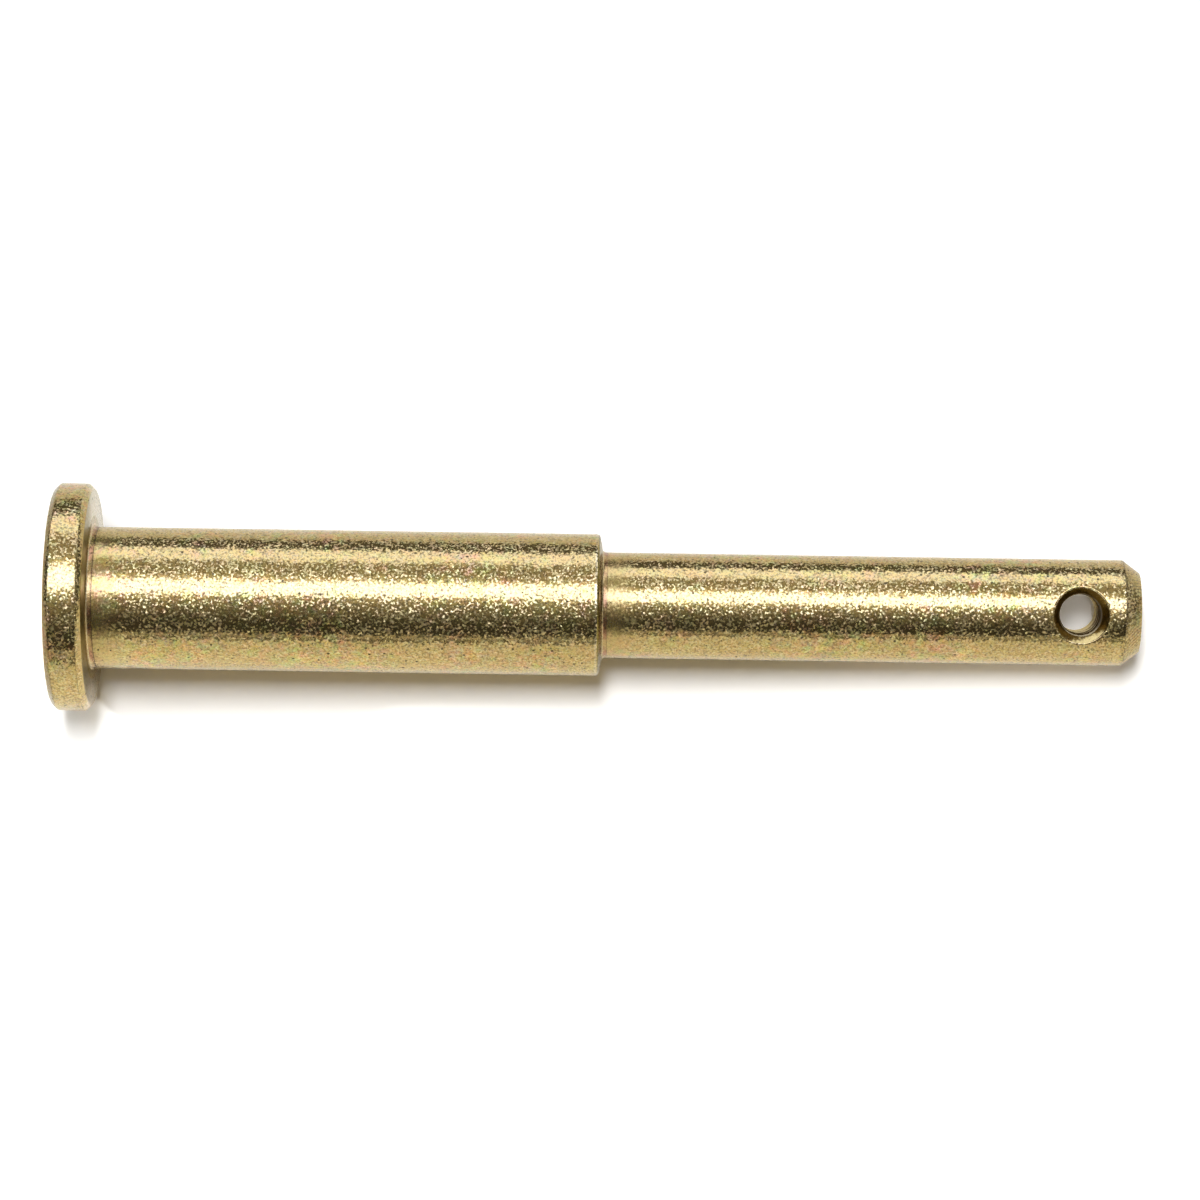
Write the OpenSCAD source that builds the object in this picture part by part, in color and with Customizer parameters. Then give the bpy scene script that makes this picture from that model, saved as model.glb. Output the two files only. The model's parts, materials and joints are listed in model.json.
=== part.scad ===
// Hitch pin: a flat round head, a thick shank, a shoulder, and a thin shank
// with a clip hole across it near a chamfered tip. One solid piece of steel.
// It stands on its head: the outer face of the head lies on z = 0, the axis is
// z, the tip points up, and the clip hole runs along x. All sizes are in mm.

/* [Head] */
// diameter of the flat round head
head_d = 32.2; // [26:0.1:40]
// thickness of the head, from its outer face to its underside
head_t = 5.4; // [3:0.1:9]
// width of the 45 degree chamfer on both edges of the rim
head_edge = 0.8; // [0.3:0.1:1.4]
// radius of the fillet where the thick shank meets the underside of the head
head_fillet = 1.2; // [0.4:0.1:2]

/* [Thick shank] */
// diameter of the thick shank, next to the head
thick_d = 20; // [18.5:0.1:24]
// length of the thick shank, from the underside of the head to the shoulder's edge
thick_l = 71.5; // [40:0.1:110]
// radius of the rounded outer edge of the shoulder
shoulder_round = 0.5; // [0.2:0.1:1.2]
// rise of the slightly conical shoulder, from its edge to the foot of the thin shank
shoulder_rise = 0.5; // [0.1:0.1:0.8]

/* [Thin shank] */
// diameter of the thin shank, beyond the shoulder
thin_d = 14.9; // [11:0.1:16.5]
// length of the thin shank, from its foot on the shoulder to the flat end of the tip
thin_l = 75.6; // [40:0.1:110]
// radius of the fillet at the foot of the thin shank, on the shoulder
shoulder_fillet = 1; // [0.4:0.1:1.8]
// length of the chamfer at the tip, along the axis
tip_chamfer_l = 2.4; // [0.5:0.1:3.5]
// depth of the chamfer at the tip, from the side of the thin shank inwards
tip_chamfer_r = 1.8; // [0.5:0.1:3]

/* [Clip hole] */
// diameter of the hole across the thin shank
hole_d = 6; // [3:0.1:6.8]
// diameter of the wider mouth of the hole, on both sides of the shank
mouth_d = 7.8; // [7:0.1:9]
// distance from the flat end of the tip to the middle of the hole
hole_from_tip = 8.6; // [8:0.1:20]
// extra depth of the straight side of the mouth, below the shank's side
mouth_depth = 0.1; // [0.05:0.05:0.5]

/* [Hidden] */
head_r = head_d / 2;
thick_r = thick_d / 2;
thin_r = thin_d / 2;
hole_r = hole_d / 2;
mouth_r = mouth_d / 2;
foot_z = head_t + thick_l + shoulder_rise;
tip_z = foot_z + thin_l;
hole_z = tip_z - hole_from_tip;
// lean of the shoulder's face from square to the axis, in degrees
shoulder_lean = atan(shoulder_rise / (thick_r - thin_r));
// how far overlapping shapes run into each other
lap = 2;
// how far an arc runs past the flat or conical face it blends into
hair = 0.001;
// distance from the axis to the floor of the mouth's straight side
mouth_floor = sqrt(thin_r * thin_r - mouth_r * mouth_r) - mouth_depth;
// the mouth narrows to the hole at 45 degrees
mouth_cone = mouth_r - hole_r;
zinc_yellow = [0.78, 0.66, 0.36];
$fn = 96;

// height of the shoulder's face at distance x from the axis
function shoulder_z(x) = foot_z - (x - thin_r) * tan(shoulder_lean);

// corner piece that turns an inner corner into a fillet of radius r; the corner's
// floor falls away from its wall by lean degrees
module fillet_corner(x, z, r, lean) {
  rise = r / cos(lean) - r * tan(lean) - hair;
  reach = r * (1 - sin(lean));
  difference() {
    translate([x - lap, z - lap]) square([lap + reach, lap + rise]);
    translate([x + r, z + rise]) circle(r);
  }
}

// half section of the head, with both rim edges chamfered
module head_section() {
  polygon([
    [0, 0],
    [head_r - head_edge, 0],
    [head_r, head_edge],
    [head_r, head_t - head_edge],
    [head_r - head_edge, head_t],
    [0, head_t]
  ]);
}

// half section of the thick shank, with the shoulder's outer edge rounded
module thick_section() {
  round_x = thick_r - shoulder_round;
  touch_x = round_x + shoulder_round * sin(shoulder_lean);
  round_z = shoulder_z(round_x) - shoulder_round / cos(shoulder_lean) + hair;
  polygon([
    [0, head_t - lap],
    [thick_r, head_t - lap],
    [thick_r, round_z],
    [touch_x, shoulder_z(touch_x)],
    [thin_r, foot_z],
    [0, foot_z]
  ]);
  translate([round_x, round_z]) circle(shoulder_round);
}

// half section of the thin shank, with the chamfer at its tip
module thin_section() {
  polygon([
    [0, foot_z - lap],
    [thin_r, foot_z - lap],
    [thin_r, tip_z - tip_chamfer_l],
    [thin_r - tip_chamfer_r, tip_z],
    [0, tip_z]
  ]);
}

// the whole turned shape
module turned_body() {
  rotate_extrude() {
    head_section();
    thick_section();
    thin_section();
    fillet_corner(thick_r, head_t, head_fillet, 0);
    fillet_corner(thin_r, foot_z, shoulder_fillet, shoulder_lean);
  }
}

// one mouth of the clip hole, a straight side above a 45 degree cone
module hole_mouth() {
  translate([0, 0, mouth_floor]) cylinder(h = thin_r, r = mouth_r);
  translate([0, 0, mouth_floor - mouth_cone])
    cylinder(h = mouth_cone, r1 = hole_r, r2 = mouth_r);
}

// the hole across the thin shank with a mouth at each end, lying along x
module clip_hole() {
  translate([0, 0, hole_z]) {
    rotate([0, 90, 0]) translate([0, 0, -thin_d]) cylinder(h = 2 * thin_d, r = hole_r);
    rotate([0, 90, 0]) hole_mouth();
    rotate([0, -90, 0]) hole_mouth();
  }
}

module hitch_pin() {
  color(zinc_yellow) difference() {
    turned_body();
    clip_hole();
  }
}

hitch_pin();
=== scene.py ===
import json
import math

import bmesh
import bpy
from mathutils import Matrix, Vector, noise

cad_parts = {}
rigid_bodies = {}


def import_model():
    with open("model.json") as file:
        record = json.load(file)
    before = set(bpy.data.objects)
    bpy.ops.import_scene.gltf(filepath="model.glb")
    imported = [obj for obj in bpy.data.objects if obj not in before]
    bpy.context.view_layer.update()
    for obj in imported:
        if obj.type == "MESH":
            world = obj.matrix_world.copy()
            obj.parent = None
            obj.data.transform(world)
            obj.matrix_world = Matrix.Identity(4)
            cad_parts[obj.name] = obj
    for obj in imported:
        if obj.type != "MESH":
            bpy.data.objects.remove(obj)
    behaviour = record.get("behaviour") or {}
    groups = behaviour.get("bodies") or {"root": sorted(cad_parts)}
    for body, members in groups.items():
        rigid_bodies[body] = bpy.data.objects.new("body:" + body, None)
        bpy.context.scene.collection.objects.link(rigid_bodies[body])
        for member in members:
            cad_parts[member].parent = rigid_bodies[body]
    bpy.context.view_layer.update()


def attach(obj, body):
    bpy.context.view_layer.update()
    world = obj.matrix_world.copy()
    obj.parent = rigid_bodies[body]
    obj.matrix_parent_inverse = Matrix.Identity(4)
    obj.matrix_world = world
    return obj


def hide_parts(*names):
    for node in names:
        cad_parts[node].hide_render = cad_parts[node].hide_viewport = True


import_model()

mm = 0.001


# node sheets: sums are written as Python, every other node comes from add()
class Wire:
    def __init__(self, sheet, socket):
        self.sheet, self.socket = sheet, socket

    # another output of the same node
    def other(self, output):
        return Wire(self.sheet, self.socket.node.outputs[output])

    def maths(self, operation, *others):
        return self.sheet.maths(operation, self, *others)

    def __add__(self, other):
        return self.sheet.maths("ADD", self, other)

    def __radd__(self, other):
        return self.sheet.maths("ADD", other, self)

    def __sub__(self, other):
        return self.sheet.maths("SUBTRACT", self, other)

    def __rsub__(self, other):
        return self.sheet.maths("SUBTRACT", other, self)

    def __mul__(self, other):
        return self.sheet.maths("MULTIPLY", self, other)

    def __rmul__(self, other):
        return self.sheet.maths("MULTIPLY", other, self)

    def __truediv__(self, other):
        return self.sheet.maths("DIVIDE", self, other)

    def __rtruediv__(self, other):
        return self.sheet.maths("DIVIDE", other, self)


class NodeSheet:
    def __init__(self, tree):
        self.tree = tree
        tree.nodes.clear()

    def add(self, kind, settings=None, inputs=None, output=0):
        node = self.tree.nodes.new(kind)
        for name, value in (settings or {}).items():
            if name == "stops":
                self.setStops(node.color_ramp, value)
            else:
                setattr(node, name, value)
        for name, value in (inputs or {}).items():
            if isinstance(value, Wire):
                self.tree.links.new(value.socket, node.inputs[name])
            else:
                node.inputs[name].default_value = value
        return Wire(self, node.outputs[output]) if len(node.outputs) else node

    def setStops(self, ramp, stops):
        while len(ramp.elements) < len(stops):
            ramp.elements.new(1.0)
        for element, (place, colour) in zip(ramp.elements, stops):
            element.position, element.color = place, colour

    def maths(self, operation, *terms):
        return self.add("ShaderNodeMath", {"operation": operation}, dict(enumerate(terms)))

    # 0 below the span, 1 above it, smooth inside; the span is measured from start
    def step(self, value, span, start=0.0):
        low, high = span
        inputs = {0: value, 1: start + low, 2: start + high, 3: 0.0, 4: 1.0}
        return self.add("ShaderNodeMapRange", {"interpolation_type": "SMOOTHSTEP"}, inputs)

    # 1 inside the span, which also gives the softness of its ends
    def band(self, value, span, start=0.0):
        low, high, soft = span
        rise = self.step(value, (low - soft, low + soft), start)
        fall = self.step(value, (high - soft, high + soft), start)
        return rise * (1.0 - fall)

    # a Mix node's colour sockets are its inputs 6 and 7 and its output 2
    def blend(self, factor, first, second):
        return self.add("ShaderNodeMix", {"data_type": "RGBA"}, {0: factor, 6: first, 7: second}, 2)

    def vector(self, operation, *terms):
        return self.add("ShaderNodeVectorMath", {"operation": operation}, dict(enumerate(terms)))

    def scale(self, first, factor):
        return self.add("ShaderNodeVectorMath", {"operation": "SCALE"}, {0: first, "Scale": factor})

    # noise and cells, by the size of their lumps in mm
    def grain(self, place, size, detail=1.0, rough=0.5, output=0):
        inputs = {"Vector": place, "Scale": 1 / (size * mm), "Detail": detail, "Roughness": rough}
        return self.add("ShaderNodeTexNoise", {"noise_dimensions": "3D"}, inputs, output)

    def cells(self, place, size):
        settings = {"voronoi_dimensions": "3D", "feature": "F1"}
        return self.add("ShaderNodeTexVoronoi", settings, {"Vector": place, "Scale": 1 / (size * mm)})


def newMaterial(name):
    material = bpy.data.materials.new(name)
    material.use_nodes = True
    return material, NodeSheet(material.node_tree)


# the pin's sizes in mm, measured along its axis from the outer face of the head
pin = {
    "headRadius": 16.08, "headThick": 5.4, "headEdge": 0.8,
    "headHollow": (0.40, 0.55),      # fillet under the head: out from the shank, along it
    "thickRadius": 10.0, "shoulderEdge": 76.9, "shoulderFoot": 77.4, "shoulderRound": 0.5,
    "footHollow": (0.45, 0.55),      # fillet at the foot of the thin shank
    "thinRadius": 7.45, "tipHeight": 153.0, "tipLength": 2.4, "tipDepth": 1.8,
    "edgeBreak": 0.14,               # tiny round on the rim's edges
    "tipBreak": 0.06,                # the tip's edges are sharper
    "segments": 240,                 # steps round the axis
    "ringPitch": 0.85,               # rings along the shanks
    "sharpAngle": 32,                # degrees, steeper edges stay crisp
}

# the clip hole, with the ridges that the drill left in it
hole = {
    "fromTip": 8.6, "radius": 3.0, "mouthRadius": 3.9, "mouthFloor": 6.25, "overshoot": 2.0,
    "ridgePitch": 1.9, "ridgeDepth": 0.22, "ridgeHalf": 0.55, "segments": 96,
}

# uneven forged skin: waves per metre, depths in mm
forged = {
    "coarse": 330, "fine": 760, "fineShare": 0.5,
    "depth": 0.012, "middle": 0.6, "swing": 0.4,
    "axisClear": 1.0,                # the middles of the end faces stay flat
    "tipRagged": 0.10, "tipWaves": 900, "tipReach": 0.3,
}

# heights that follow from these sizes
rimTop = pin["headThick"] - pin["headEdge"]
tipStart = pin["tipHeight"] - pin["tipLength"]
holeHeight = pin["tipHeight"] - hole["fromTip"]
shoulderLean = math.atan2(pin["shoulderFoot"] - pin["shoulderEdge"], pin["thickRadius"] - pin["thinRadius"])
footStart = pin["shoulderFoot"] - pin["footHollow"][0] * math.tan(shoulderLean)


def ringEdges(bm, radius, height):
    near = 0.02 * mm
    ring = {v for v in bm.verts
            if abs(v.co.z - height * mm) < near and abs(v.co.xy.length - radius * mm) < near}
    return [edge for edge in bm.edges if ring.issuperset(edge.verts)]


def roundRing(bm, radius, height, size, segments):
    bmesh.ops.bevel(bm, geom=ringEdges(bm, radius, height), offset=size * mm, offset_type="OFFSET",
                    segments=segments, profile=0.5, affect="EDGES", material=-1, clamp_overlap=False)


# fillet from a face to the shank above it, a quarter of an ellipse
def hollow(radius, height, size, steps=9):
    out, along = size
    turns = [math.pi / 2 * i / steps for i in range(steps + 1)]
    return [(radius + out * (1 - math.sin(t)), height + along * (1 - math.cos(t))) for t in turns]


# a full turn of an outline about an axis through the origin
def spinOutline(points, axis, segments):
    bm = bmesh.new()
    verts = [bm.verts.new(point) for point in points]
    edges = [bm.edges.new(pair) for pair in zip(verts, verts[1:])]
    bmesh.ops.spin(bm, geom=verts + edges, cent=(0, 0, 0), axis=axis, angle=math.tau,
                   steps=segments, use_merge=True)
    bmesh.ops.remove_doubles(bm, verts=bm.verts, dist=0.001 * mm)
    return bm


def turnPin():
    p = pin
    faceRadius = p["headRadius"] - p["headEdge"]
    rim = [(faceRadius, 0), (p["headRadius"], p["headEdge"]), (p["headRadius"], rimTop),
           (faceRadius, p["headThick"])]
    shoulder = (p["thickRadius"], p["shoulderEdge"])
    tip = [(p["thinRadius"], tipStart), (p["thinRadius"] - p["tipDepth"], p["tipHeight"])]
    outline = [(0, 0)] + rim + hollow(p["thickRadius"], p["headThick"], p["headHollow"]) + [shoulder]
    outline += hollow(p["thinRadius"], footStart, p["footHollow"]) + tip + [(0, p["tipHeight"])]
    bm = spinOutline([(r * mm, 0, z * mm) for r, z in outline], (0, 0, 1), p["segments"])
    bmesh.ops.recalc_face_normals(bm, faces=bm.faces)
    shoulderSize = p["shoulderRound"] * (1 - math.sin(shoulderLean)) / math.cos(shoulderLean)
    roundRing(bm, *shoulder, shoulderSize, segments=6)
    for radius, height in rim:
        roundRing(bm, radius, height, p["edgeBreak"], segments=3)
    for radius, height in tip:
        roundRing(bm, radius, height, p["tipBreak"], segments=2)
    return bm


def addRings(bm):
    pitch = pin["ringPitch"] * mm
    longEdges = {}
    for edge in bm.edges:
        low, high = sorted(v.co.z for v in edge.verts)
        if high - low > 2 * pitch:
            longEdges.setdefault(round((high - low) / pitch), []).append(edge)
    for count, edges in longEdges.items():
        bmesh.ops.subdivide_edges(bm, edges=edges, cuts=count - 1, use_grid_fill=True)


# the shanks and the head were forged before plating, so they are never quite even
def forgeSurface(bm):
    f = forged
    bm.normal_update()
    for v in bm.verts:
        if v.co.xy.length < f["axisClear"] * mm:
            continue
        wave = noise.noise(v.co * f["coarse"]) + f["fineShare"] * noise.noise(v.co * f["fine"])
        v.co -= v.normal * (f["middle"] + f["swing"] * wave) * f["depth"] * mm
        if abs(v.co.z - tipStart * mm) < f["tipReach"] * mm:
            v.co.z += noise.noise(v.co * f["tipWaves"]) * f["tipRagged"] * mm


def drillShape():
    h = hole
    outer = pin["thinRadius"] + h["overshoot"]
    coneStart = h["mouthFloor"] - (h["mouthRadius"] - h["radius"])
    half = [(coneStart, h["radius"]), (h["mouthFloor"], h["mouthRadius"]),
            (outer, h["mouthRadius"]), (outer, 0)]
    ridges = []
    count = int(coneStart / h["ridgePitch"])
    for i in range(-count, count + 1):
        middle = i * h["ridgePitch"]
        ridges += [(middle - h["ridgeHalf"], h["radius"]), (middle, h["radius"] - h["ridgeDepth"]),
                   (middle + h["ridgeHalf"], h["radius"])]
    outline = [(-x, r) for x, r in reversed(half)] + ridges + half
    bm = spinOutline([(x * mm, r * mm, 0) for x, r in outline], (1, 0, 0), h["segments"])
    bmesh.ops.translate(bm, verts=bm.verts, vec=(0, 0, holeHeight * mm))
    bmesh.ops.recalc_face_normals(bm, faces=bm.faces)
    return bm


def meshObject(name, bm):
    mesh = bpy.data.meshes.new(name)
    bm.to_mesh(mesh)
    bm.free()
    obj = bpy.data.objects.new(name, mesh)
    bpy.context.scene.collection.objects.link(obj)
    return obj


def makePin():
    bm = turnPin()
    addRings(bm)
    forgeSurface(bm)
    body = meshObject("hitchPinBody", bm)
    drill = meshObject("drillShape", drillShape())
    cut = body.modifiers.new("clipHole", "BOOLEAN")
    cut.operation, cut.solver, cut.object = "DIFFERENCE", "EXACT", drill
    bpy.context.view_layer.update()
    shaped = bpy.data.meshes.new_from_object(body.evaluated_get(bpy.context.evaluated_depsgraph_get()))
    body.modifiers.clear()
    body.data = shaped
    bpy.data.objects.remove(drill)
    shaped.shade_smooth()
    shaped.set_sharp_from_angle(angle=math.radians(pin["sharpAngle"]))
    print("pin body:", len(shaped.vertices), "points,", len(shaped.polygons), "faces")
    return body


# where the finish changes: spans in mm, from the edge or radius that each one follows
marks = {
    # on the fillets, from the fillet's end: a rosy band, a pale line in the corner that is a painted
    # highlight, a dark seam
    "head": {"rose": (-0.34, 0.16, 0.06), "corner": (-0.48, -0.36, 0.03), "seam": (0.17, 0.29, 0.03)},
    "foot": {"rose": (-0.33, 0.18, 0.05), "corner": (-0.44, -0.35, 0.03), "seam": (0.19, 0.27, 0.02)},
    "footShare": {"rose": 1.0, "corner": 1.0, "seam": 0.7},
    "filletOut": (1.4, 1.6),         # out from the thick shank, the fillet's marks end here
    "headFace": (1.5, 5.5, 0.1), "oliveFace": (0.5, 5.3, 0.1),
    "faceSkin": (-0.1, 0.0),         # only the face itself, not the rim
    "shadeSide": (0.1, 0.6),         # one side of the face, by its share of x, gets painted shade: stronger olive and more roughness
    # the shoulder's edge is paler from wear, and that pale also stands in for its glints: partly a painted
    # highlight
    "oliveShoulder": (-0.15, 0.49, 0.04), "wear": (-0.50, -0.22, 0.06),
    "headSatin": (1.4, 6.1), "footSatin": (2.1, 5.6), "footStart": (-0.15, 0.0),
    "rimLow": (-0.04, 0.12, 0.04), "rimHigh": (-0.12, 0.04, 0.04), "rimDepth": (-0.3, -0.2),
    # the rim's outer chamfer, painted dark as a painted reflection
    "bevelSpan": (-0.68, 0.0, 0.06), "bevelDepth": (-0.75, -0.65),
    # the last span here is a dark ragged line along the tip's edge, painted shade
    "tip": (-0.05, 0.10), "tipEnd": (-0.10, -0.04), "tipEdge": (-0.12, 0.12, 0.05),
    "raggedSize": 0.6, "raggedReach": 1.5,
    "holeReach": (-5.4, -4.4), "mouthEdge": (-0.02, 0.02),
    "bore": (-0.12, 0.05, 0.04), "ridgeTop": (-0.16, -0.10),
    "lip": (0.02, 0.26, 0.02), "lipEnd": 0.28, "lipFade": 0.26,
    "litSide": (0.35, 0.85),         # one side of the mouth gets a painted highlight
    "litClean": 0.85,                # and the bore's dark ring is left off there
}


# masks of the pin's zones, from each point's place: 1 inside the zone
def pinZones(sheet, place):
    p, m = pin, marks
    parts = sheet.add("ShaderNodeSeparateXYZ", None, {0: place})
    x, y, z = [parts.other(i) * (1 / mm) for i in range(3)]
    radius = (x * x + y * y).maths("SQRT")
    zones = {"z": z, "turn": y.maths("ARCTAN2", x)}

    # fillets
    headTop = p["headThick"] + p["headHollow"][1]
    footTop = footStart + p["footHollow"][1]
    nearShank = 1.0 - sheet.step(radius, m["filletOut"], p["thickRadius"])
    for name, share in m["footShare"].items():
        atHead = nearShank * sheet.band(z, m["head"][name], headTop)
        zones[name] = atHead + sheet.band(z, m["foot"][name], footTop) * share

    # faces of the head and the shoulder
    # painted shade: the head's face is darker olive and rougher on its +x side
    shadedSide = sheet.step(x / radius, m["shadeSide"])
    face = sheet.band(radius, m["oliveFace"], p["thickRadius"]) * sheet.step(z, m["faceSkin"], p["headThick"])
    zones["stain"] = face * shadedSide
    zones["olive"] = face * (0.5 + 0.5 * shadedSide) + sheet.band(z, m["oliveShoulder"], p["shoulderEdge"])
    # worn edge of the shoulder, partly a painted highlight
    zones["wear"] = sheet.band(z, m["wear"], p["shoulderEdge"])
    nearHead = (1.0 - sheet.step(z, m["headSatin"], p["headThick"])) * nearShank
    nearFoot = (1.0 - sheet.step(z, m["footSatin"], p["shoulderFoot"])) \
        * sheet.step(z, m["footStart"], p["shoulderEdge"])
    zones["satin"] = nearHead.maths("MAXIMUM", nearFoot)
    zones["calm"] = zones["satin"].maths("MAXIMUM", sheet.band(radius, m["headFace"], p["thickRadius"]))

    # rim: a dark line on both edges, and the outer chamfer painted dark as a painted reflection of dark
    # surroundings
    rimEdges = sheet.band(z, m["rimLow"], p["headEdge"]) + sheet.band(z, m["rimHigh"], rimTop)
    zones["rimLine"] = rimEdges * sheet.step(radius, m["rimDepth"], p["headRadius"])
    zones["rimBevel"] = sheet.band(z, m["bevelSpan"], p["headEdge"]) \
        * sheet.step(radius, m["bevelDepth"], p["headRadius"])

    # tip
    zones["tip"] = sheet.step(z, m["tip"], tipStart)
    zones["bevel"] = zones["tip"] * (1.0 - sheet.step(z, m["tipEnd"], p["tipHeight"]))
    # painted shade: a dark ragged line along the edge where the tip's chamfer starts
    ragged = z + (sheet.grain(place, m["raggedSize"], detail=2.0, rough=0.6) - 0.5) * m["raggedReach"]
    zones["tipEdge"] = sheet.band(ragged, m["tipEdge"], tipStart)

    # clip hole
    fromHole = z - holeHeight
    holeRadius = (y * y + fromHole * fromHole).maths("SQRT")
    atHole = sheet.step(z, m["holeReach"], holeHeight)
    litSide = sheet.step(y / holeRadius, m["litSide"])
    ridgeTop = 1.0 - sheet.step(holeRadius, m["ridgeTop"], hole["radius"])
    zones["hole"] = (1.0 - sheet.step(holeRadius, m["mouthEdge"], hole["mouthRadius"])) * atHole
    zones["bore"] = sheet.band(holeRadius, m["bore"], hole["radius"]) * atHole \
        * (1.0 - m["litClean"] * litSide)
    # painted highlight: lighter gold on one side of the mouth and bore and on the ridge tops
    zones["rub"] = zones["hole"] * litSide.maths("MAXIMUM", ridgeTop)
    lipFall = (hole["mouthRadius"] + m["lipEnd"] - holeRadius) / m["lipFade"]
    zones["lip"] = sheet.band(holeRadius, m["lip"], hole["mouthRadius"]) * atHole * lipFall
    zones["toHole"] = sheet.add("ShaderNodeCombineXYZ", None, {
        0: 0.0, 1: y * -1.0 / holeRadius, 2: fromHole * -1.0 / holeRadius})
    return zones


# yellow zinc plate over a grainy forged skin; sizes in mm
zinc = {
    "gold": (0.475, 0.345, 0.13, 1),
    "speck": (0.68, 0.54, 0.255, 1),
    # pale for the painted highlight in the fillet corners and on the shoulder's worn, glinting edge
    "paleWearAndHighlight": (0.66, 0.56, 0.33, 1),
    "olive": (0.215, 0.160, 0.030, 1),
    "rose": (0.33, 0.145, 0.085, 1),
    "seam": (0.12, 0.055, 0.035, 1),
    "pit": (0.055, 0.042, 0.022, 1),
    "mouth": (0.21, 0.15, 0.055, 1),
    # lighter gold for the painted highlight in the hole
    "highlightGold": (0.45, 0.345, 0.13, 1),
    "bore": (0.10, 0.06, 0.025, 1),
    "patchSize": 2.6,
    "speckSize": 0.37, "speckPatch": 0.2, "speckEdge": (0.505, 0.575), "speckCalm": 0.8,
    "speckTilt": 1.16, "speckRough": 0.20, "speckPale": 0.7,
    "grainSize": 0.36, "grainTilt": 0.20, "grainCalm": 0.6,
    "lumpSize": 1.8, "lumpTilt": 0.05, "lipTilt": 0.9,
    "tintSize": 1.7, "tintAmount": 1.08, "tintPatch": 9.0, "tintEdge": (0.42, 0.62), "tintLeast": 0.3,
    "dirtSize": 0.34, "dirtAmount": 0.42, "dirtEdge": (0.51, 0.61), "dirtCalm": 0.5,
    "pitSize": 1.0, "pitGrow": 0.11, "pitEdge": (0.06, 0.12), "pitShare": 0.46, "pitRough": 0.3,
    "hatchTurns": 70.0, "hatchRise": 7.0, "hatchUneven": 9.0, "hatchEdge": (0.2, 0.9),
    "roseEdge": (0.42, 0.58), "roseLeast": 0.2, "roseMore": 0.55, "lineEdge": (0.35, 0.65),
    # how far each zone's colour covers the gold; some zones are painted highlight or shade
    "cover": {"olive": 0.96, "corner": 0.6, "seam": 0.85, "pits": 0.85, "hatch": 0.85, "tipEdge": 0.6,
              "rimLine": 0.42, "rimBevel": 0.45, "hole": 0.85, "rub": 0.8, "bore": 0.85},
    "roughness": 0.12,
    # how much rougher each zone is
    "rougher": {"tip": 0.15, "bore": 0.30, "corner": 0.22, "satin": 0.13, "stain": 0.18},
    "boreDull": 0.6,
    # the patterns are read at other places, so that they don't follow each other
    "shifts": ((0.31, 0.17, 0.53), (0.72, 0.44, 0.11), (0.15, 0.83, 0.27)),
}


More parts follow.
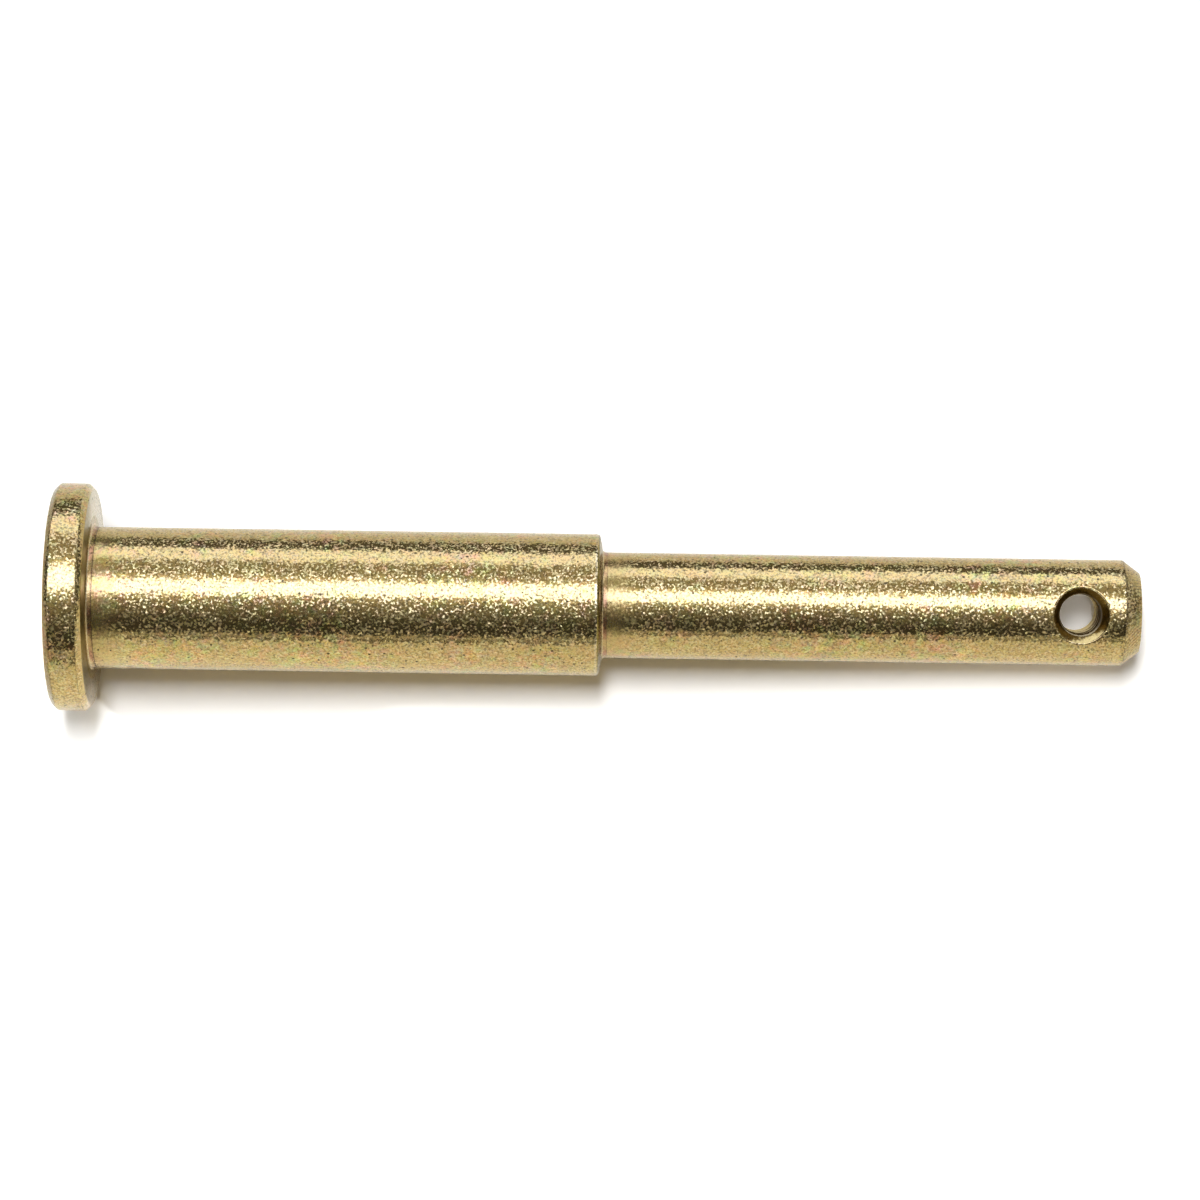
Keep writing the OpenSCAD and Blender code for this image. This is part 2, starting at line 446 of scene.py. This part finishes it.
def zincMaterial():
    material, sheet = newMaterial("yellow_zinc_plate")
    q, cover = zinc, zinc["cover"]
    middle = (0.5, 0.5, 0.5)
    place = sheet.add("ShaderNodeTexCoord", output="Object")
    leanPlace, tintPlace, patchPlace = [sheet.vector("ADD", place, shift) for shift in q["shifts"]]
    zones = pinZones(sheet, place)
    calm = zones["calm"]
    patch = sheet.grain(patchPlace, q["patchSize"], detail=2.0)

    # small crystals of zinc lean over and are dull and pale, the skin between them is smooth
    speck = sheet.grain(place, q["speckSize"], rough=0.6) + (patch - 0.5) * q["speckPatch"]
    speck = sheet.step(speck, q["speckEdge"]) * (1.0 - q["speckCalm"] * calm) * (1.0 - zones["hole"])
    lean = sheet.grain(leanPlace, q["grainSize"], output="Color")
    leanBy = speck * q["speckTilt"] + q["grainTilt"] * (1.0 - q["grainCalm"] * zones["hole"])
    lean = sheet.scale(sheet.vector("SUBTRACT", lean, middle), leanBy)
    sway = sheet.grain(place, q["lumpSize"], output="Color")
    sway = sheet.scale(sheet.vector("SUBTRACT", sway, middle), q["lumpTilt"])
    facing = sheet.add("ShaderNodeNewGeometry", output="Normal")
    facing = sheet.vector("ADD", facing, sheet.vector("ADD", lean, sway))
    facing = sheet.vector("ADD", facing, sheet.scale(zones["toHole"], zones["lip"] * q["lipTilt"]))
    facing = sheet.vector("NORMALIZE", facing)

    # rainbow tints come and go, fine dirt lies over them
    tint = sheet.grain(tintPlace, q["tintSize"], detail=3.0, rough=0.7, output="Color")
    show = sheet.step(sheet.grain(leanPlace, q["tintPatch"]), q["tintEdge"])
    show = q["tintLeast"] + (1 - q["tintLeast"]) * show
    tint = sheet.scale(sheet.vector("SUBTRACT", tint, middle), show * q["tintAmount"])
    dirt = sheet.step(sheet.grain(tintPlace, q["dirtSize"], detail=2.0, rough=0.6), q["dirtEdge"])
    dirt = 1.0 - dirt * q["dirtAmount"] * (1.0 - q["dirtCalm"] * calm)
    colour = sheet.blend(speck * q["speckPale"], q["gold"], q["speck"])
    colour = sheet.vector("MULTIPLY", sheet.vector("ADD", tint, (1.0, 1.0, 1.0)), colour)

    # marks of the zones
    rosy = q["roseLeast"] + q["roseMore"] * sheet.step(patch, q["roseEdge"])
    # painted highlight: a pale line in the fillet corners; on the shoulder's edge the pale is wear and also a
    # painted highlight
    wearAndHighlight = (zones["corner"] * cover["corner"]).maths("MAXIMUM", zones["wear"] * patch)
    colour = sheet.blend(zones["olive"] * cover["olive"], colour, q["olive"])
    colour = sheet.blend(zones["rose"] * rosy, colour, q["rose"])
    colour = sheet.blend(wearAndHighlight, colour, q["paleWearAndHighlight"])
    colour = sheet.blend(zones["seam"] * cover["seam"], colour, q["seam"])
    colour = sheet.scale(colour, dirt)

    # pits of several sizes in some of the cells, and slanting tool marks round the tip
    cell = sheet.cells(place, q["pitSize"])
    chance = sheet.add("ShaderNodeSeparateColor", None, {0: cell.other("Color")})
    pits = 1.0 - sheet.step(cell - chance.other("Green") * q["pitGrow"], q["pitEdge"])
    pits = pits * (1.0 - sheet.step(chance, (0.0, 0.02), q["pitShare"]))
    hatch = zones["turn"] * q["hatchTurns"] + zones["z"] * q["hatchRise"] + patch * q["hatchUneven"]
    hatch = sheet.step(hatch.maths("SINE"), q["hatchEdge"]) * zones["bevel"] * patch
    dark = pits * cover["pits"]
    dark = dark.maths("MAXIMUM", hatch * cover["hatch"])
    # painted shade along the tip's edge
    dark = dark.maths("MAXIMUM", zones["tipEdge"] * cover["tipEdge"])
    dark = dark.maths("MAXIMUM", zones["rimLine"] * sheet.step(patch, q["lineEdge"]) * cover["rimLine"])
    # painted reflection: the rim's outer chamfer darkened
    dark = dark.maths("MAXIMUM", zones["rimBevel"] * cover["rimBevel"])
    colour = sheet.blend(dark, colour, q["pit"])

    # the hole's mouth and bore, with a painted highlight on one side and on the drill ridges' tops
    colour = sheet.blend(zones["hole"] * cover["hole"], colour, q["mouth"])
    colour = sheet.blend(zones["rub"] * cover["rub"], colour, q["highlightGold"])
    colour = sheet.blend(zones["bore"] * cover["bore"], colour, q["bore"])

    rough = q["roughness"] + speck * q["speckRough"] + pits * q["pitRough"]
    for name, amount in q["rougher"].items():
        rough = rough + zones[name] * amount
    metal = sheet.add("ShaderNodeBsdfPrincipled", None, {
        "Base Color": colour, "Metallic": 1.0 - q["boreDull"] * zones["bore"],
        "Roughness": rough, "Normal": facing})
    sheet.add("ShaderNodeOutputMaterial", None, {"Surface": metal})
    return material


# the camera as in the photo: turned about the pin's axis, nearly square to it
cameraValues = {
    "lens": 138.68, "sensor": 36.0, "clip": (0.01, 20.0),
    "distance": 653.2, "aimHeight": 77.04, "drop": 0.70,     # mm
    "slope": 0.0152, "tilt": -0.0081, "turn": 0.072,         # radians
}


# the pin's x, y and z as the camera sees them
def pinAxes():
    c = cameraValues
    axis = Vector((math.cos(c["slope"]) * math.cos(c["tilt"]),
                   -math.sin(c["slope"]) * math.cos(c["tilt"]), -math.sin(c["tilt"])))
    near = Vector((0, 0, 1))
    near = (near - axis * axis.dot(near)).normalized()
    up = near.cross(axis)
    across = near * math.cos(c["turn"]) - up * math.sin(c["turn"])
    return across, axis.cross(across), axis


def makeCamera():
    c = cameraValues
    turn = Matrix(pinAxes())                     # camera space to pin space
    spot = turn @ Vector((0, c["drop"], c["distance"])) * mm + Vector((0, 0, c["aimHeight"] * mm))
    data = bpy.data.cameras.new("photoCamera")
    data.lens, data.sensor_width = c["lens"], c["sensor"]
    data.clip_start, data.clip_end = c["clip"]
    camera = bpy.data.objects.new("photoCamera", data)
    camera.matrix_world = Matrix.Translation(spot) @ turn.to_4x4()
    bpy.context.scene.collection.objects.link(camera)
    bpy.context.scene.camera = camera
    print("camera in place")
    return turn


# the white table that the pin lies on: it touches the head's rim, and the tip is a little over it;
# lengths in metres where nothing else is said
stageValues = {
    "viewHeight": 65.0,              # camera's angle over the table, degrees
    "tipGap": 1.4,                   # the tip's height over the table, mm
    "middle": 0.075,                 # the stage's middle, along the pin from the head
    "floorSize": 3.0, "floorFront": 0.35,
    "floorPaint": (0.92, 0.92, 0.918, 1), "floorWhite": (1.25, 1.25, 1.25, 1),
    "tableGlow": 1.06, "glowShare": 0.40, "glowColour": (1, 0.97, 0.88, 1),   # what the metal sees of it
    "cornerShade": (0.004, 0.012),   # no glow this near to the head's lowest point
    "cornerShift": (0.003, 0.007),   # that point, moved along the pin and to the viewer
    "softboxHeight": 2.0, "softboxWidth": 0.86, "softboxLength": 0.34, "softboxLevel": 35.0,
    "softboxShift": 0.21, "softboxBack": 0.03,               # towards the viewer and the head
    "frontDistance": 0.70, "frontSize": 0.25, "frontLevel": 0.058,            # weak lamp by the camera
    "tipLevel": 0.26, "tipSpread": 4.6,                      # soft spot on the tip, degrees across
    "headLevel": 1.1, "headSpread": 4.4, "headHeight": 35.0,     # from the side, under the head
    "spotSoft": 0.03,
    "fillLevel": 0.04, "fillColour": (1.0, 0.95, 0.90),
}


# the table's normal, its directions along the pin and to the viewer, and where the rim touches it
def stageAxes(turn):
    back = turn @ Vector((0, 0, 1))
    up = turn @ Vector((0, 1, 0))
    axis = Vector((0, 0, 1))
    near = (back - axis * back.dot(axis)).normalized()
    above = near.cross(axis)
    above = above if above.dot(up) > 0 else -above
    angle = math.radians(stageValues["viewHeight"])
    level = near * math.sin(angle) + above * math.cos(angle)
    # the pin's axis dips towards the tip
    drop = pin["headRadius"] - pin["thinRadius"] - stageValues["tipGap"]
    normal = (level - axis * (drop / (tipStart - rimTop))).normalized()
    along = (axis - normal * axis.dot(normal)).normalized()
    front = along.cross(normal).normalized()
    front = front if front.dot(up) < 0 else -front
    touch = axis * (rimTop * mm) - level * (pin["headRadius"] * mm)
    return normal, along, front, touch


def stageFrame(along, normal, origin):
    turn = Matrix((along, normal.cross(along), normal)).transposed()
    return Matrix.Translation(origin) @ turn.to_4x4()


# the tent shows the light in the metal, so the lamps themselves don't
def placeLamp(lamp, colour, frameMatrix):
    lamp.color = colour
    obj = bpy.data.objects.new(lamp.name, lamp)
    obj.matrix_world = frameMatrix
    obj.visible_camera = False
    obj.visible_glossy = False
    bpy.context.scene.collection.objects.link(obj)


# flat lamp facing down its own z
def makeLamp(name, size, level, frameMatrix, colour=(1, 1, 1)):
    lamp = bpy.data.lights.new(name, "AREA")
    lamp.shape = "RECTANGLE"
    lamp.size, lamp.size_y = size
    lamp.energy = level * math.pi * lamp.size * lamp.size_y
    placeLamp(lamp, colour, frameMatrix)


# soft round spot, its level is the light that reaches the middle
def makeSpot(name, level, spread, frameMatrix, colour=(1, 1, 1)):
    lamp = bpy.data.lights.new(name, "SPOT")
    lamp.energy = level * math.pi * 4 * math.pi * stageValues["frontDistance"] ** 2
    lamp.spot_size, lamp.spot_blend = math.radians(spread), 1.0
    lamp.shadow_soft_size = stageValues["spotSoft"]
    placeLamp(lamp, colour, frameMatrix)


# 1 for rays that show the background: seen directly, in a reflection or through glass
def shownRay(sheet):
    path = sheet.add("ShaderNodeLightPath", output="Is Camera Ray")
    shown = path.maths("MAXIMUM", path.other("Is Glossy Ray"))
    return shown.maths("MAXIMUM", path.other("Is Transmission Ray"))


def floorMaterial(headCorner):
    s = stageValues
    material, sheet = newMaterial("white_table")
    place = sheet.add("ShaderNodeTexCoord", output="Object")
    shade = sheet.blend(shownRay(sheet), s["floorPaint"], s["floorWhite"])
    paint = sheet.add("ShaderNodeBsdfDiffuse", None, {"Color": shade})
    glow = sheet.add("ShaderNodeEmission", None, {"Color": s["glowColour"], "Strength": s["tableGlow"]})
    mirrored = sheet.add("ShaderNodeLightPath", output="Is Glossy Ray")
    distance = {"operation": "DISTANCE"}
    fromHead = sheet.add("ShaderNodeVectorMath", distance, {0: place, 1: headCorner}, "Value")
    share = mirrored * sheet.step(fromHead, s["cornerShade"]) * s["glowShare"]
    paint = sheet.add("ShaderNodeMixShader", None, {0: share, 1: paint, 2: glow})
    clear = sheet.add("ShaderNodeBsdfTransparent")
    behind = sheet.add("ShaderNodeNewGeometry", output="Backfacing")
    surface = sheet.add("ShaderNodeMixShader", None, {0: behind, 1: paint, 2: clear})
    sheet.add("ShaderNodeOutputMaterial", None, {"Surface": surface})
    return material


# studio tent round the pin: angle in degrees from the viewer's table edge over the top, level of light
tentBands = [
    (-6.0, 0.08), (1.5, 0.08), (3.0, 0.8), (7.8, 0.8), (9.3, 0.07), (30.0, 0.09), (42.0, 0.19),
    (54.0, 0.36), (62.0, 0.55), (70.0, 0.9), (72.9, 1.2), (73.6, 4.7), (95.2, 4.7), (96.5, 1.6),
    (102.0, 0.95), (108.0, 0.55), (130.5, 0.55), (132.0, 2.3), (154.5, 2.3), (156.5, 0.16),
    (180.0, 0.18), (184.0, 0.5),
]
# the strongest light is the coolest
lightColours = [(0.0, (1.02, 1.0, 0.95)), (1.7, (0.93, 1.0, 1.30)), (3.0, (0.88, 0.98, 1.46))]
tent = {
    "radius": 0.9, "length": 2.4, "startAngle": -5.0, "steps": 72,
    "rise": 13.0,                    # its axis over the table, mm
    "firstAngle": -10.0, "angleSpan": 200.0, "brightest": 10.0,     # what the ramp covers
    "endLow": 0.10, "endHigh": 0.38, "endFade": (0.05, 0.40), "endSkin": (-0.02, -0.01),
}


def tentMaterial():
    t = tent
    material, sheet = newMaterial("studio_tent")
    place = sheet.add("ShaderNodeTexCoord", output="Object")
    along = sheet.add("ShaderNodeSeparateXYZ", None, {0: place})
    side, high = along.other("Y"), along.other("Z")
    angle = high.maths("ARCTAN2", side) * (180 / math.pi)
    stops = []
    for bandAngle, bandLevel in tentBands:
        shade = [colour for start, colour in lightColours if bandLevel > start][-1]
        stopColour = tuple(bandLevel / t["brightest"] * c for c in shade) + (1,)
        stops.append(((bandAngle - t["firstAngle"]) / t["angleSpan"], stopColour))
    share = (angle - t["firstAngle"]) / t["angleSpan"]
    level = sheet.add("ShaderNodeValToRGB", {"stops": stops}, {0: share})
    low, top = [(t[name] / t["brightest"],) * 3 + (1,) for name in ("endLow", "endHigh")]
    ends = sheet.blend(sheet.step(high, t["endFade"]), low, top)
    atEnd = sheet.step(along.maths("ABSOLUTE"), t["endSkin"], t["length"] / 2)
    level = sheet.blend(atEnd, level, ends)
    light = sheet.add("ShaderNodeEmission", None, {"Color": level, "Strength": t["brightest"]})
    sheet.add("ShaderNodeOutputMaterial", None, {"Surface": light})
    return material


# the tent's own x runs along the pin, y towards the viewer and z up from the table
def makeTent(frameMatrix):
    bm = bmesh.new()
    half = tent["length"] / 2
    # starts on the viewer's side of the table and goes over the top
    low = math.radians(tent["startAngle"])
    y, z = tent["radius"] * math.cos(low), tent["radius"] * math.sin(low)
    start = [bm.verts.new((x, y, z)) for x in (-half, half)]
    edge = bm.edges.new(start)
    bmesh.ops.spin(bm, geom=start + [edge], cent=(0, 0, 0), axis=(1, 0, 0), angle=math.pi - low,
                   steps=tent["steps"])
    for end in (-half, half):
        bm.faces.new([v for v in bm.verts if abs(v.co.x - end) < mm])
    obj = meshObject("studioTent", bm)
    obj.data.materials.append(tentMaterial())
    obj.matrix_world = frameMatrix
    obj.visible_camera = False
    obj.visible_shadow = False
    obj.visible_diffuse = False


def makeTable(normal, along, front, middle, headCorner):
    s = stageValues
    half = s["floorSize"] / 2
    corners = [(-half, -half), (half, -half), (half, s["floorFront"]), (-half, s["floorFront"])]
    bm = bmesh.new()
    top = bm.faces.new([bm.verts.new(middle + along * x + front * y) for x, y in corners])
    bm.normal_update()
    if top.normal.dot(normal) < 0:
        bmesh.ops.reverse_faces(bm, faces=bm.faces)
    table = meshObject("tableTop", bm)
    table.data.materials.append(floorMaterial(headCorner))


def makeStage(turn):
    s = stageValues
    normal, along, front, touch = stageAxes(turn)
    middle = touch + along * s["middle"]
    cornerAlong, cornerFront = s["cornerShift"]
    makeTable(normal, along, front, middle, touch + along * cornerAlong + front * cornerFront)
    tentTurn = Matrix((normal.cross(front) * -1, front, normal)).transposed()
    makeTent(Matrix.Translation(middle + normal * (tent["rise"] * mm)) @ tentTurn.to_4x4())

    overhead = middle + normal * s["softboxHeight"] + front * s["softboxShift"] - along * s["softboxBack"]
    makeLamp("overheadSoftbox", (s["softboxLength"], s["softboxWidth"]), s["softboxLevel"],
             stageFrame(along, normal, overhead))
    viewAngle = math.radians(s["viewHeight"])
    towards = (normal * math.sin(viewAngle) + front * math.cos(viewAngle)).normalized()
    frontLevel = s["frontLevel"] * math.pi * s["frontDistance"] ** 2 / s["frontSize"] ** 2
    makeLamp("frontFill", (s["frontSize"], s["frontSize"]), frontLevel,
             stageFrame(along, towards, middle + towards * s["frontDistance"]), s["fillColour"])
    holeSpot = Vector((0, 0, holeHeight * mm))
    makeSpot("tipLight", s["tipLevel"], s["tipSpread"],
             stageFrame(along, towards, holeSpot + towards * s["frontDistance"]), s["fillColour"])
    sideAngle = math.radians(s["headHeight"])
    beside = (normal * math.sin(sideAngle) - along * math.cos(sideAngle)).normalized()
    headSpot = touch + front * (pin["headRadius"] * mm)
    makeSpot("headLight", s["headLevel"], s["headSpread"],
             stageFrame(front, beside, headSpot + beside * s["frontDistance"]))
    print("stage: table normal", [round(x, 3) for x in normal])


def makeWorld():
    world = bpy.data.worlds.new("studioRoom")
    world.use_nodes = True
    bpy.context.scene.world = world
    sheet = NodeSheet(world.node_tree)
    fill = tuple(c * stageValues["fillLevel"] for c in stageValues["fillColour"]) + (1,)
    shade = sheet.blend(shownRay(sheet), fill, (1, 1, 1, 1))
    room = sheet.add("ShaderNodeBackground", None, {"Color": shade, "Strength": 1.0})
    sheet.add("ShaderNodeOutputWorld", None, {"Surface": room})


bpy.context.scene.view_settings.view_transform = "Standard"
makeStage(makeCamera())
makeWorld()
body = makePin()
body.data.materials.clear()
body.data.materials.append(zincMaterial())
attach(body, "root")
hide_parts("hitch_pin")
print("plating done")
